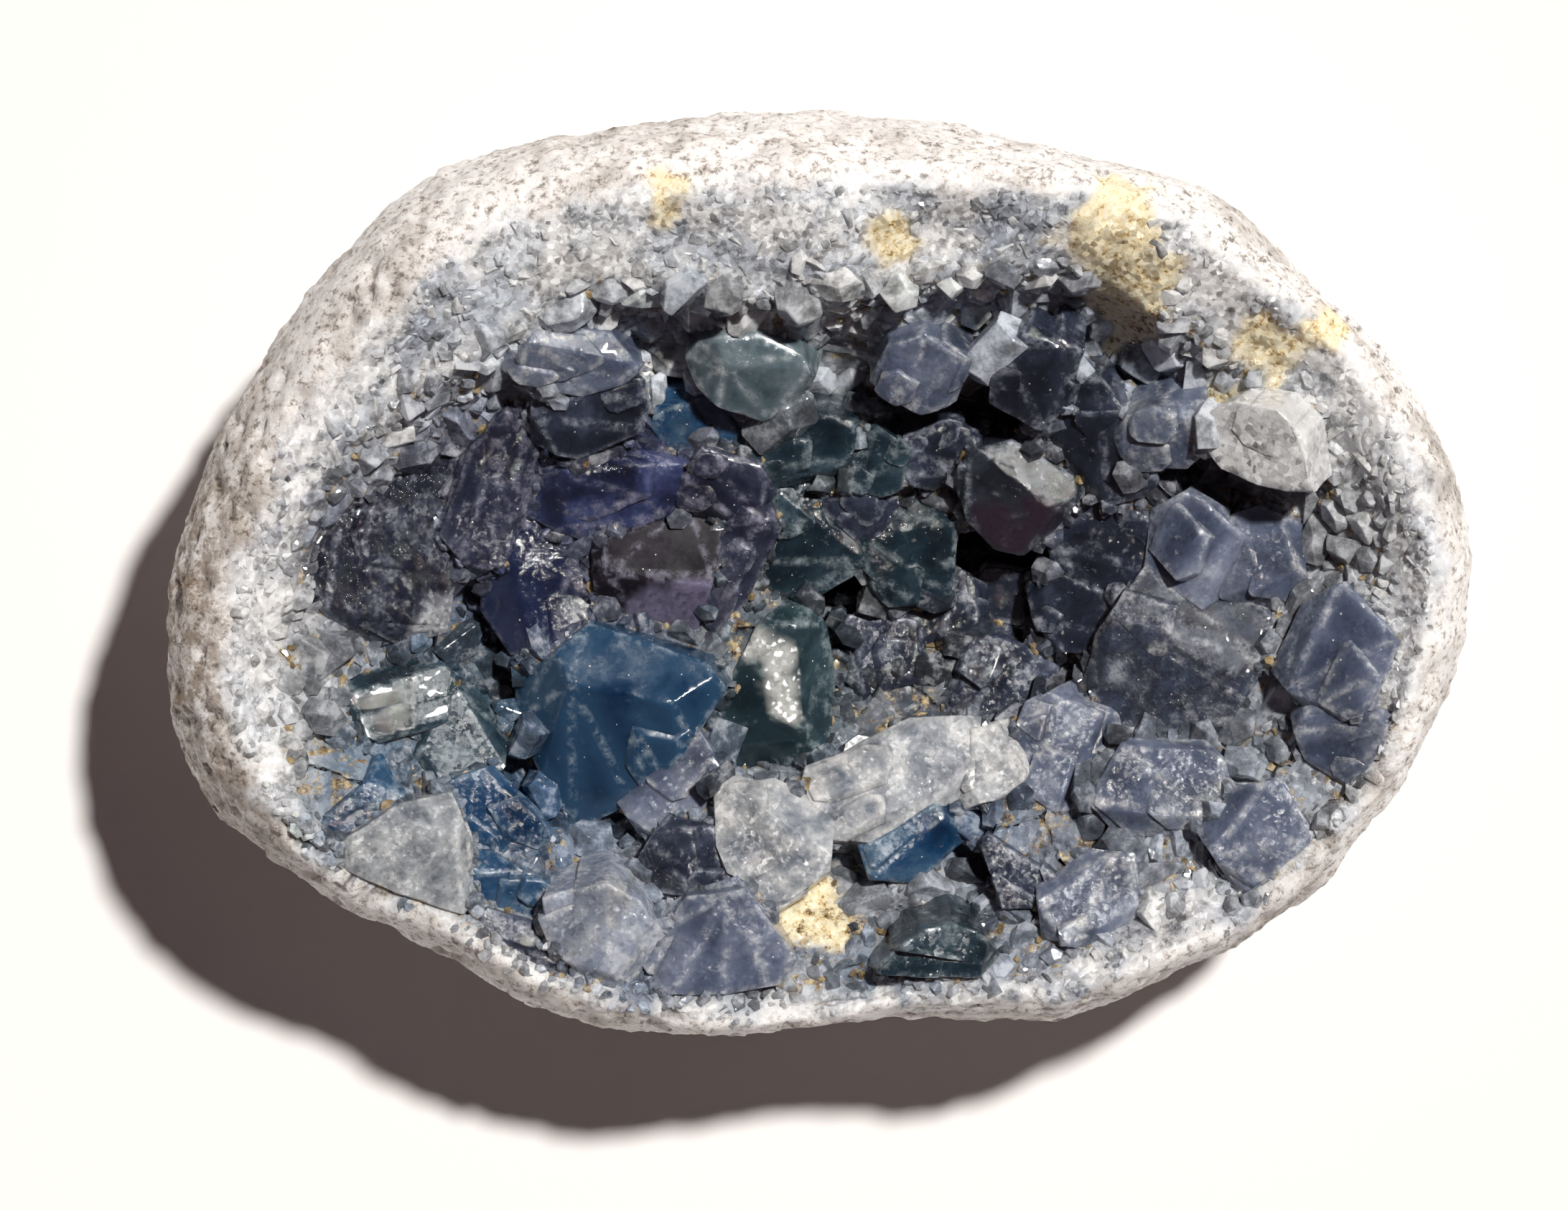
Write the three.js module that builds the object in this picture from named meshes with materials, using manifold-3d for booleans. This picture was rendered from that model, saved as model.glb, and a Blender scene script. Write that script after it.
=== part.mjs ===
// Half of a celestine geode: a rounded stone nodule broken open along its middle, its hollow lined
// with blocky blue-grey crystals. It rests on a small worn facet, with the hollow facing up.
//
// Frame: millimetres, +Z up, +X along the nodule's length. The origin is on the resting surface,
// under the middle of the nodule.
import * as THREE from "three";
import Module from "manifold-3d";
import { ConvexGeometry } from "three/addons/geometries/ConvexGeometry.js";
import { mergeVertices } from "three/addons/utils/BufferGeometryUtils.js";

// ---- Driving dimensions -----------------------------------------------------------------------
const noduleHeight = 43; // resting facet to the highest point of the broken rim
const widestHeight = 24; // height of the nodule's widest line
const restShare = 0.3; // size of the flat resting facet, as a share of the widest line
const crystalGap = 0.3; // a crystal stands this far clear of its socket and of its neighbours
const leastWall = 4; // stone left outside the foot of every crystal
const crystalLength = 13; // head to foot, before the foot is trimmed to the stone
const meridians = 60; // steps around the nodule

// The nodule's widest line, seen from above, anticlockwise from its +X end.
const widestLine = [
  [55, 1], [53, 11], [48, 19], [40.5, 26], [34, 32], [23.5, 35.5], [10.5, 38], [0, 39],
  [-13, 38.5], [-24, 37], [-34, 33], [-43, 24], [-49.5, 15], [-54, 2], [-55, -11], [-50, -21],
  [-41.5, -27.5], [-33, -31], [-27, -35.5], [-20, -38], [-9.5, -39], [0.5, -37.5], [10, -37],
  [22, -37.5], [32, -33], [39.5, -28.5], [46, -22.5], [52, -13],
];

// How the broken rim differs around the nodule: one value for each compass side, +X first,
// anticlockwise, every 45 degrees.
const rim = {
  skin: [4, 5, 7, 8, 7, 3.5, 1.5, 3], // outer skin above the widest line, as seen from above
  height: [0.84, 0.94, 0.98, 0.95, 0.84, 0.74, 0.7, 0.75], // as a share of the nodule's height
  slope: [4, 7, 9, 8, 4, 3, 2.2, 3.5], // width of the granular broken face inside the skin
  drop: [3.5, 4, 4.5, 4.5, 3, 2, 1.6, 2.4], // how far that face falls before the hollow starts
};

// The hollow under the crystals: levels as a share of its mouth, and their heights.
const hollow = {
  middle: [3, -1],
  levels: [[0.87, 27.5], [0.72, 22.5], [0.55, 18.5], [0.36, 16]],
};

// ---- Helpers ----------------------------------------------------------------------------------
const wasm = await Module();
wasm.setup();

const degrees = THREE.MathUtils.degToRad;
const mix = THREE.MathUtils.lerp;

// A closed mesh as a solid for cutting and joining.
function toSolid(geometry) {
  const bare = new THREE.BufferGeometry();
  bare.setAttribute("position", geometry.getAttribute("position").clone());
  if (geometry.index) bare.setIndex(geometry.index.clone());
  const merged = mergeVertices(bare, 1e-4);
  const corners = [];
  for (let i = 0; i < merged.index.count; i += 3) {
    const [a, b, c] = [0, 1, 2].map((k) => merged.index.getX(i + k));
    if (a !== b && b !== c && c !== a) corners.push(a, b, c);
  }
  return new wasm.Manifold(new wasm.Mesh({
    numProp: 3,
    vertProperties: merged.getAttribute("position").array,
    triVerts: new Uint32Array(corners),
  }));
}

// A solid back as a three.js geometry with flat faces.
function toGeometry(solid) {
  const mesh = solid.getMesh();
  const geometry = new THREE.BufferGeometry();
  geometry.setAttribute("position", new THREE.BufferAttribute(mesh.vertProperties, 3));
  geometry.setIndex(new THREE.BufferAttribute(mesh.triVerts, 1));
  const flat = geometry.toNonIndexed();
  flat.computeVertexNormals();
  return flat;
}

// The largest body of a solid, so that a cut leaves no loose chips.
function largestBody(solid) {
  const bodies = solid.decompose();
  return bodies.reduce((best, body) => (body.volume() > best.volume() ? body : best));
}

// A value that changes smoothly around the nodule, from one value per compass side.
function around(values, angle) {
  const place = ((angle / (2 * Math.PI) + 1) % 1) * values.length;
  const side = Math.floor(place);
  const blend = (1 - Math.cos((place - side) * Math.PI)) / 2;
  return mix(values[side % values.length], values[(side + 1) % values.length], blend);
}

// ---- The stone shell --------------------------------------------------------------------------
const outline = new THREE.CatmullRomCurve3(
  widestLine.map(([x, y]) => new THREE.Vector3(x, y, 0)), true, "centripetal",
);

// Natural unevenness of the stone, none on the resting facet.
function lump(point) {
  const rise = THREE.MathUtils.smoothstep(point.z, 1, 9);
  const swell = Math.sin(point.x / 7.3 + point.z / 6) * Math.cos(point.y / 6.1 - point.z / 9);
  const ripple = Math.sin(point.x / 3.1 - point.y / 4.3) * Math.sin(point.z / 3.7 + point.y / 5.9);
  return rise * (0.55 * swell + 0.3 * ripple);
}

// A station is a place on every meridian. It is given the meridian's widest point, the angle that
// the point stands at, and how far inside the outer skin to stay.
const outsideStations = [0, 18, 34, 50, 64, 77, 90].map((turn) => ({ widest, inside = 0 }) => {
  const share = mix(restShare, 1, Math.sin(degrees(turn)));
  const z = mix(inside, widestHeight, 1 - Math.cos(degrees(turn)));
  const reach = share * (1 - inside / widest.length());
  return new THREE.Vector3(widest.x * reach, widest.y * reach, z);
});

function crest({ widest, angle }) {
  const reach = 1 - around(rim.skin, angle) / widest.length();
  const ripple = 0.5 * Math.sin(7 * angle + 1) + 0.35 * Math.sin(13 * angle);
  const z = noduleHeight * around(rim.height, angle) + ripple;
  return new THREE.Vector3(widest.x * reach, widest.y * reach, z);
}

const skinStations = [25, 48, 70, 90].map((turn) => (meridian) => {
  const top = crest(meridian);
  const curl = 1 - Math.cos(degrees(turn));
  const x = mix(meridian.widest.x, top.x, curl);
  const y = mix(meridian.widest.y, top.y, curl);
  return new THREE.Vector3(x, y, mix(widestHeight, top.z, Math.sin(degrees(turn))));
});

function mouth(meridian) {
  const top = crest(meridian);
  const reach = 1 - around(rim.slope, meridian.angle) / Math.hypot(top.x, top.y);
  return new THREE.Vector3(top.x * reach, top.y * reach, top.z - around(rim.drop, meridian.angle));
}

const slopeStations = [0.33, 0.67, 1].map((share) => (meridian) => {
  const point = crest(meridian).lerp(mouth(meridian), share);
  point.z += 1.2 * Math.sin(share * Math.PI) * Math.sin(9 * meridian.angle);
  return point;
});

const [middleX, middleY] = hollow.middle;
const hollowStations = hollow.levels.map(([share, z]) => (meridian) => {
  const edge = mouth(meridian);
  return new THREE.Vector3(mix(middleX, edge.x, share), mix(middleY, edge.y, share), z);
});

// A closed skin through the stations, joined up like a lathe's. A station that is a fixed point is
// a pole.
function skinThrough(stations, { inside = 0, uneven = true } = {}) {
  const profile = stations.map((station, j) => new THREE.Vector2(station.isVector3 ? 0 : 1, j));
  const geometry = new THREE.LatheGeometry(profile, meridians);
  const position = geometry.getAttribute("position");
  for (let i = 0; i <= meridians; i++) {
    const widest = outline.getPoint((i % meridians) / meridians);
    const meridian = { widest, angle: Math.atan2(widest.y, widest.x), inside };
    stations.forEach((station, j) => {
      const point = station.isVector3 ? station : station(meridian);
      const out = 1 + (uneven ? lump(point) / Math.max(point.length(), widestHeight) : 0);
      position.setXYZ(i * stations.length + j, point.x * out, point.y * out, point.z);
    });
  }
  return geometry;
}

const floorPole = new THREE.Vector3(middleX, middleY, hollow.levels.at(-1)[1]);
const shellSkin = skinThrough([
  new THREE.Vector3(0, 0, 0), ...outsideStations, ...skinStations, ...slopeStations,
  ...hollowStations, floorPole,
]);

// The room within the stone at a depth inside its outer skin, open upwards.
const openTop = 2 * noduleHeight;
const roomWithin = (inside) => toSolid(skinThrough([
  new THREE.Vector3(0, 0, inside), ...outsideStations,
  ({ widest }) => widest.clone().setLength(widest.length() - inside).setZ(openTop),
  new THREE.Vector3(0, 0, openTop),
], { inside, uneven: false }));

// ---- Crystals ---------------------------------------------------------------------------------
// A crystal is given by its outline at the level of its head, anticlockwise as seen from above, the
// way it grows, and the caps on its head. The way it grows is the x and y of a unit vector that
// points up out of the stone. A cap is [direction, tilt, share]: the way it faces, how far it tips
// from square to the growth axis, both in degrees, and where it meets the head's level, as a share
// of the way from the middle of the outline to its edge.

// Large crystals, each with a shape of its own.
const largeCrystals = {
  giant_blue_wedge: {
    tint: "deepBlue", head: 27.5, grows: [-0.12, -0.2],
    outline: [[-21.1, -22.1], [-16.1, -19.5], [-10.8, -13.6], [-8.1, -9.5], [-9.4, -7.5],
      [-19.5, -4.4], [-25.8, -9.7], [-25.8, -13.1]],
    caps: [[265, 10, 0], [175, 36, 0.52], [75, 32, 0.5], [345, 34, 0.6], [300, 52, 0.86]],
  },
  frosted_block: {
    tint: "slate", head: 28.5, grows: [0.34, -0.05],
    outline: [[-36.5, -5.8], [-30.9, -4.4], [-29.2, 2.6], [-30, 11.2], [-37.8, 8], [-44.2, 2],
      [-43.4, -2]],
    caps: [[20, 4, 0], [5, 58, 0.86], [265, 40, 0.7], [110, 35, 0.75], [190, 40, 0.85]],
  },
  grey_block: {
    tint: "mist", head: 27.5, grows: [-0.15, -0.2],
    outline: [[22, -10.1], [25.4, -13.3], [29, -14.7], [33.1, -14.5], [36.7, -8.5], [38, -3],
      [33.8, -1.5], [27.5, 0.5], [23.5, -5.2]],
    caps: [[250, 5, 0], [175, 42, 0.72], [65, 24, 0.3], [290, 44, 0.7], [350, 40, 0.85]],
  },
  capped_column: {
    tint: "teal", head: 24.5, grows: [0.05, -0.05],
    outline: [[-7.2, -15.9], [-3.4, -16.9], [0.7, -14.4], [1.4, -8.8], [0.5, -4.2], [-1.3, -2.1],
      [-4.4, -2.1], [-7.2, -4], [-8.2, -11.3]],
    caps: [[190, 5, 0], [5, 34, 0.42], [270, 34, 0.6], [95, 46, 0.7]],
  },
  hanging_tablet: {
    tint: "mist", head: 32.5, grows: [0, -0.5],
    outline: [[-4.7, 11.9], [-2.2, 13.3], [-0.6, 16.4], [-1.5, 18.6], [-4.9, 20.5], [-8, 20.4],
      [-9.8, 19.3], [-10.9, 17.3], [-10, 15], [-8.3, 13.5]],
    caps: [[270, 4, 0], [85, 26, 0.3], [165, 40, 0.42], [320, 44, 0.72], [225, 50, 0.85]],
  },
  violet_block: {
    tint: "violet", head: 25.5, grows: [0.1, -0.1],
    outline: [[-25.8, -6.6], [-19.2, -4.8], [-18, 1.1], [-19.3, 5.4], [-24, 5.9], [-28, 3.2],
      [-28.2, -3]],
    caps: [[30, 8, 0], [80, 40, 0.72], [0, 50, 0.86], [190, 34, 0.5]],
  },
  purple_prism: {
    tint: "violet", head: 26.5, grows: [0.05, -0.12],
    outline: [[-10.7, -6.5], [-9, 0], [-8.1, 3.9], [-11.1, 5.6], [-18.9, 2.6], [-18.7, -1.4],
      [-14.5, -4.6]],
    caps: [[80, 14, 0], [262, 34, 0.05], [175, 46, 0.8], [0, 52, 0.8]],
  },
  indigo_slab: {
    tint: "violet", head: 27.5, grows: [0.05, -0.3],
    outline: [[-18.6, 2.4], [-11.2, 5.6], [-10.6, 9.3], [-18.1, 11.2], [-24.6, 8.2], [-24.2, 4.6]],
    caps: [[285, 6, 0], [95, 38, 0.5], [170, 30, 0.5], [350, 46, 0.85]],
  },
  rose_prism: {
    tint: "slate", head: 27.5, grows: [-0.1, -0.34],
    outline: [[17.1, 1.4], [19.6, 3.6], [22.4, 7.5], [16.3, 11.4], [13, 10.9], [11.9, 8.3],
      [12.6, 4.4], [14.8, 1.9]],
    caps: [[240, 4, 0], [50, 34, 0.42], [320, 40, 0.75], [180, 44, 0.8]],
  },
  silver_plate: {
    tint: "white", head: 35.5, grows: [-0.42, -0.36],
    outline: [[32.6, 8.2], [36, 7.3], [41, 7.2], [41, 12.5], [39, 14.4], [35, 14.6], [32.4, 13.2],
      [31.2, 10.3]],
    caps: [[200, 3, 0], [20, 40, 0.8], [200, 40, 0.85], [290, 40, 0.85]],
  },
  clear_tablet: {
    tint: "mist", head: 32, grows: [-0.2, -0.5],
    outline: [[26.2, 8.2], [30.5, 8.7], [32.5, 11.2], [32.2, 15.2], [28.8, 14.9], [26, 13.6],
      [24.5, 11.2], [24.9, 9.2]],
    caps: [[250, 3, 0], [80, 40, 0.6], [270, 48, 0.8], [180, 40, 0.7], [0, 40, 0.85]],
  },
  white_column: {
    tint: "white", head: 29.5, grows: [0, 0.1],
    outline: [[-6.6, -26.9], [-3.9, -28], [0.8, -24.6], [1.2, -19.6], [-3.8, -17.1], [-8.4, -17.8],
      [-8, -23.8]],
    caps: [[215, 10, 0], [60, 34, 0.5], [270, 42, 0.75], [160, 40, 0.8]],
  },
  lilac_block: {
    tint: "pale", head: 31.5, grows: [-0.05, -0.3],
    outline: [[-19.3, -34.8], [-15.5, -35], [-13.1, -32.6], [-13.2, -30.4], [-15, -27],
      [-17.9, -25.5], [-22.8, -26.9], [-22.2, -31]],
    caps: [[110, 6, 0], [335, 40, 0.35], [250, 40, 0.6], [80, 50, 0.85]],
  },
  sugar_block: {
    tint: "white", head: 32, grows: [0.1, -0.1],
    outline: [[-36.5, -27], [-29.4, -28.4], [-29.2, -22.6], [-30.7, -18.4], [-35.3, -19.4],
      [-40, -22.4], [-40, -25]],
    caps: [[250, 8, 0], [80, 36, 0.6], [0, 48, 0.85], [190, 34, 0.7]],
  },
  teal_oval: {
    tint: "teal", head: 31.5, grows: [0.05, -0.3],
    outline: [[4.2, -33.6], [7.6, -35.4], [12.5, -34.4], [14.8, -32.1], [13.5, -30], [11.2, -29.1],
      [7.5, -30.3]],
    caps: [[100, 6, 0], [265, 40, 0.5], [0, 44, 0.75], [180, 40, 0.8]],
  },
  blue_window: {
    tint: "deepBlue", head: 29, grows: [0.05, -0.15],
    outline: [[-29.8, -30.2], [-24.5, -30], [-22.3, -27.7], [-22.3, -26], [-27.8, -23.3],
      [-29.8, -23.1]],
    caps: [[280, 12, 0], [85, 40, 0.7], [180, 52, 0.8], [265, 48, 0.8]],
  },
};

// Smaller crystals of the plain habit: a six-sided prism with a bevelled head. A row gives the name,
// the middle of the head, the way it grows, the direction of its long side, its width, its depth and
// its tint. A crystal is cut back where it meets one that comes before it.
const plainCrystals = [
  ["white_ridge", [6.2, -17, 27], [0.05, 0.2], 27, 13.6, 6, "white"],
  ["teal_curtain", [-1.6, 3, 24], [0, -0.3], 140, 8.6, 8, "teal"],
  ["teal_apron", [7.6, 1.8, 23.5], [0.02, -0.3], 10, 6.8, 6.6, "teal"],
  ["teal_shelf", [-8.8, 11.8, 26.5], [0, -0.4], 120, 8, 7.6, "deepBlue"],
  ["teal_knob", [-1.6, 10.6, 27.5], [0, -0.4], 15, 8, 4.8, "teal"],
  ["grey_bead", [4.7, 9.6, 26.5], [0, -0.35], 70, 4.9, 4.6, "teal"],
  ["needle_bundle", [-6.9, 1.2, 25.5], [-0.15, -0.25], 65, 10.5, 3, "violet"],
  ["violet_knob", [-8, 7, 27], [0.05, -0.3], 165, 6.6, 5.2, "violet"],
  ["dark_curtain", [3.2, 3.9, 24], [0, -0.3], 95, 5.8, 5.6, "slate"],
  ["north_slate", [10.4, 10, 26.5], [0, -0.35], 20, 5.4, 4.4, "slate"],
  ["seam_slab", [23, 11.4, 29.5], [-0.2, -0.35], 125, 11, 6.4, "slate"],
  ["east_slate", [24.2, 3.6, 26], [-0.25, -0.15], 150, 8.6, 7.6, "slate"],
  ["east_wedge", [22.4, -1.8, 24.5], [-0.25, -0.05], 40, 8, 6.4, "slate"],
  ["drusy_knob", [31, 1.8, 28], [-0.2, -0.15], 70, 8, 6.4, "mist"],
  ["drusy_bead", [36.8, 1.2, 28.5], [-0.2, -0.1], 20, 6.8, 6.6, "mist"],
  ["pale_wedge", [43, -6.6, 32.5], [-0.3, 0], 65, 8.6, 7.4, "mist"],
  ["clear_cluster", [44.2, -12.8, 32.5], [-0.3, 0], 150, 7.8, 6.4, "mist"],
  ["dark_lath", [42, -17.4, 31.5], [-0.25, 0.15], 10, 8.6, 4.8, "slate"],
  ["pale_blue_block", [36.8, -21.8, 32], [-0.15, 0.1], 50, 6.8, 6.8, "mist"],
  ["beaded_block", [21, -14.4, 26.5], [-0.05, 0.1], 70, 8.2, 6.8, "mist"],
  ["beaded_bank", [29.2, -17.8, 28.5], [-0.1, 0.15], 175, 9.4, 6, "mist"],
  ["dark_wedge", [15.6, -9.4, 22.5], [-0.05, 0.05], 75, 6.8, 6.6, "slate"],
  ["lilac_wedge", [7.4, -12.4, 22.5], [0.05, 0.15], 55, 6.6, 6.2, "mist"],
  ["dark_prism", [5.4, -7.2, 21], [0, 0.05], 100, 6.6, 5.8, "slate"],
  ["dark_tablet", [10, -3.4, 20.5], [0, -0.05], 10, 7.8, 5.8, "slate"],
  ["deep_floor", [16.2, -2.8, 19], [-0.05, -0.05], 95, 6.4, 5.6, "slate"],
  ["white_knob", [14.1, -15.8, 26.5], [0, 0.2], 120, 5.4, 5, "white"],
  ["oval_window", [7.4, -21.4, 27], [0, 0.1], 40, 7.2, 5.6, "deepBlue"],
  ["grey_lath", [-12.4, -17.9, 26.5], [-0.05, -0.1], 55, 8, 5.4, "mist"],
  ["lilac_wall", [-10.3, -24.8, 28.5], [-0.05, -0.1], 100, 7, 6.4, "slate"],
  ["dark_foot", [-25.8, -32.2, 29.5], [-0.05, -0.3], 160, 8, 5.2, "slate"],
  ["grey_front", [-8.2, -32.2, 31], [0.05, -0.2], 55, 9.2, 8, "mist"],
  ["dark_blue_front", [18.6, -23.2, 28.5], [0, 0.1], 110, 7.4, 6.8, "slate"],
  ["grey_lath_front", [22.6, -27, 30], [0, 0.05], 30, 7.2, 5, "mist"],
  ["lilac_crown", [8.6, 16.8, 32.5], [0, -0.5], 70, 6, 5.4, "mist"],
  ["green_crown", [18, 16.4, 33], [-0.15, -0.5], 80, 8, 5, "slate"],
  ["dark_shelf", [-19.2, 13.6, 31], [0.05, -0.4], 25, 8.4, 5.4, "slate"],
  ["pale_crown", [-20.6, 17.6, 33.5], [0.1, -0.5], 165, 8.8, 4.6, "mist"],
  ["indigo_edge", [-27, 7, 28], [0.25, -0.2], 72, 11.5, 5, "violet"],
  ["white_edged_lath", [-27.4, -20.8, 28], [0.1, 0], 135, 8.4, 5.2, "deepBlue"],
  ["far_blue_block", [-40, -18, 31.5], [0.2, 0.1], 160, 8.2, 6.6, "deepBlue"],
  ["teal_lath", [-35.2, -10.4, 27.5], [0.25, 0.1], 15, 8, 4.4, "teal"],
  ["blue_chip", [-30.4, -13.6, 26.5], [0.2, 0.1], 120, 7.4, 5.8, "teal"],
];

const tints = {
  deepBlue: 0x2b5a80,
  slate: 0x4a5266,
  teal: 0x3c5563,
  violet: 0x55557a,
  mist: 0x8b93a3,
  pale: 0xc9cfd6,
  white: 0xeceef0,
};

// The outline of a plain crystal: a six-sided prism cut square to the growth axis.
function prismOutline([x, y], turn, width, depth) {
  const corners = [
    [0.66, 0.24], [0.28, 0.63], [-0.42, 0.63], [-0.66, -0.2], [-0.3, -0.63], [0.4, -0.63],
  ];
  const [across, along] = [Math.cos(degrees(turn)), Math.sin(degrees(turn))];
  return corners.map(([u, v]) => [
    x + u * width * across - v * depth * along,
    y + u * width * along + v * depth * across,
  ]);
}

// The caps of a plain crystal: celestine's {210} along the long side and its steeper {101} at the
// ends, with a little of the head left square. Skew makes one side larger than the other.
const longCapTilt = 38;
const endCapTilt = 50.6;
const plainCaps = (turn, skew) => [
  [turn + 90, 4, 0],
  [turn + 90, longCapTilt, 0.68 + 0.24 * skew],
  [turn - 90, longCapTilt, 0.68 - 0.3 * skew],
  [turn, endCapTilt, 0.84 - 0.2 * skew],
  [turn + 180, endCapTilt, 0.84 + 0.12 * skew],
];

// The faces of a crystal as planes: an outward unit normal, and a distance along it from the origin.
function crystalPlanes({ outline: corners, head, grows: [gx, gy], caps }) {
  const axis = new THREE.Vector3(gx, gy, Math.sqrt(1 - gx * gx - gy * gy));
  const lean = new THREE.Quaternion().setFromUnitVectors(new THREE.Vector3(0, 0, 1), axis);
  const points = corners.map(([x, y]) => new THREE.Vector3(x, y, head));
  const middle = points.reduce((sum, point) => sum.add(point), new THREE.Vector3())
    .divideScalar(points.length);
  const sides = points.map((point, i) => {
    const edge = points[(i + 1) % points.length].clone().sub(point);
    const normal = edge.cross(axis).normalize();
    return { normal, distance: normal.dot(point) };
  });
  const tops = caps.map(([direction, tilt, share]) => {
    const way = new THREE.Vector3(Math.cos(degrees(direction)), Math.sin(degrees(direction)), 0);
    const reach = Math.max(...points.map((point) => point.clone().sub(middle).dot(way)));
    const normal = way.clone().multiplyScalar(Math.sin(degrees(tilt)))
      .setZ(Math.cos(degrees(tilt))).applyQuaternion(lean);
    const rise = share * reach * Math.sin(degrees(tilt));
    return { normal, distance: normal.dot(middle) + rise };
  });
  const foot = axis.clone().negate();
  return [...sides, ...tops, { normal: foot, distance: foot.dot(middle) + crystalLength }];
}

// The convex body inside a set of planes, each moved out by spare.
function bodyInside(planes, spare) {
  const at = ({ distance }) => distance + spare;
  const corners = [];
  planes.forEach((first, i) => {
    planes.slice(i + 1).forEach((second, j) => {
      planes.slice(i + j + 2).forEach((third) => {
        const [a, b, c] = [first.normal, second.normal, third.normal];
        const spread = a.dot(b.clone().cross(c));
        if (Math.abs(spread) < 1e-5) return;
        const corner = b.clone().cross(c).multiplyScalar(at(first))
          .add(c.clone().cross(a).multiplyScalar(at(second)))
          .add(a.clone().cross(b).multiplyScalar(at(third)))
          .divideScalar(spread);
        if (planes.every((plane) => plane.normal.dot(corner) < at(plane) + 1e-6)) {
          corners.push(corner);
        }
      });
    });
  });
  return new ConvexGeometry(corners);
}

// ---- Assembly ---------------------------------------------------------------------------------
const geode = new THREE.Group();
const socketRoom = roomWithin(leastWall);
const crystalRoom = roomWithin(leastWall + crystalGap);
let shell = toSolid(shellSkin);
let taken = null; // the room that earlier crystals take, each with its gap

function addMesh(name, solid, color, roughness) {
  const material = new THREE.MeshStandardMaterial({ color, roughness, metalness: 0 });
  const mesh = new THREE.Mesh(toGeometry(solid), material);
  mesh.name = name;
  geode.add(mesh);
}

function addCrystal(name, crystal) {
  const planes = crystalPlanes(crystal);
  const body = toSolid(bodyInside(planes, 0)).intersect(crystalRoom);
  const space = toSolid(bodyInside(planes, crystalGap));
  addMesh(name, largestBody(taken ? body.subtract(taken) : body), tints[crystal.tint], 0.15);
  taken = taken ? taken.add(space) : space;
  shell = shell.subtract(space.intersect(socketRoom));
}

for (const [name, crystal] of Object.entries(largeCrystals)) addCrystal(name, crystal);
plainCrystals.forEach(([name, [x, y, head], grows, turn, width, depth, tint], order) => {
  const caps = plainCaps(turn, Math.sin(2.4 * order)); // no two heads are alike
  addCrystal(name, { tint, head, grows, caps, outline: prismOutline([x, y], turn, width, depth) });
});
addMesh("stone_shell", largestBody(shell), 0xcfc6bd, 0.9);

// The origin goes under the middle of the nodule, on the surface that it rests on.
const extent = new THREE.Box3().setFromObject(geode);
const centre = extent.getCenter(new THREE.Vector3());
geode.position.set(-centre.x, -centre.y, -extent.min.z);

export default geode;
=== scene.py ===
import bmesh
import bpy
import math
import numpy as np
import random
import time
from mathutils import Matrix, Vector, noise


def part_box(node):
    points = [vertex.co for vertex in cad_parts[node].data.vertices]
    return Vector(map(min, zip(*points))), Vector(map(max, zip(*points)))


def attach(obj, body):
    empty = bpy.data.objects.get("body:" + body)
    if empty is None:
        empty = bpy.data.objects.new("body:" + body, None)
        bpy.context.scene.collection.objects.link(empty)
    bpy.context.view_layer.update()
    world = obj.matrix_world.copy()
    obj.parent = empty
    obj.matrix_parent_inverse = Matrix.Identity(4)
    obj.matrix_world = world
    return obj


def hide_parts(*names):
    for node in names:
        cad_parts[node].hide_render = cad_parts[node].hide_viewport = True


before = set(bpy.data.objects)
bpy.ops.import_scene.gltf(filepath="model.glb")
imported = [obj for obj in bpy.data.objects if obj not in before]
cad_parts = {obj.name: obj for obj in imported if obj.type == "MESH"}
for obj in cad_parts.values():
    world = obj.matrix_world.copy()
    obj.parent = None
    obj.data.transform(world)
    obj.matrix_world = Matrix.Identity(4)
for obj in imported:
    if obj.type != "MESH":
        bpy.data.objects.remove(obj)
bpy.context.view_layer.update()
mm = 0.001  # everything below is given in millimetres and kept in metres
scene = bpy.context.scene
started = time.perf_counter()
print("frame loaded:", len(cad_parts), "nodes")


# small tools

def linear(hexColour):  # sRGB hex to Blender's linear colour
    channels = [int(hexColour[i:i + 2], 16) / 255 for i in (0, 2, 4)]
    return [c / 12.92 if c <= 0.04045 else ((c + 0.055) / 1.055) ** 2.4 for c in channels] + [1.0]


def addNode(tree, kind, inputs=None, stops=None, **settings):
    node = tree.nodes.new("ShaderNode" + kind)
    for name, value in settings.items():
        setattr(node, name, value)
    if stops:
        ramp = node.color_ramp
        while len(ramp.elements) < len(stops):
            ramp.elements.new(1.0)
        for element, (place, colour) in zip(ramp.elements, stops):
            element.position = place
            element.color = linear(colour)
    for name, value in (inputs or {}).items():
        if isinstance(value, bpy.types.NodeSocket):
            tree.links.new(value, node.inputs[name])
        else:
            node.inputs[name].default_value = value
    return node


def smoothStep(low, high, value):
    t = min(max((value - low) / (high - low), 0.0), 1.0)
    return t * t * (3 - 2 * t)


def around(values, angle):  # one value per compass side, +X first, anticlockwise, blended smoothly
    place = (angle / math.tau % 1) * len(values)
    side = int(place)
    blend = (1 - math.cos((place - side) * math.pi)) / 2
    return values[side % len(values)] * (1 - blend) + values[(side + 1) % len(values)] * blend


def addPiece(name, mesh, material, replaced=()):
    piece = bpy.data.objects.new(name, mesh)
    scene.collection.objects.link(piece)
    mesh.materials.clear()
    mesh.materials.append(material)
    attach(piece, "root")
    if replaced:
        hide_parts(*replaced)
    return piece


def nodeCopy(name):  # a CAD node is loose triangles, so its copy is merged first
    bm = bmesh.new()
    bm.from_mesh(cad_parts[name].data)
    bmesh.ops.remove_doubles(bm, verts=bm.verts, dist=0.002 * mm)
    return bm


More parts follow.
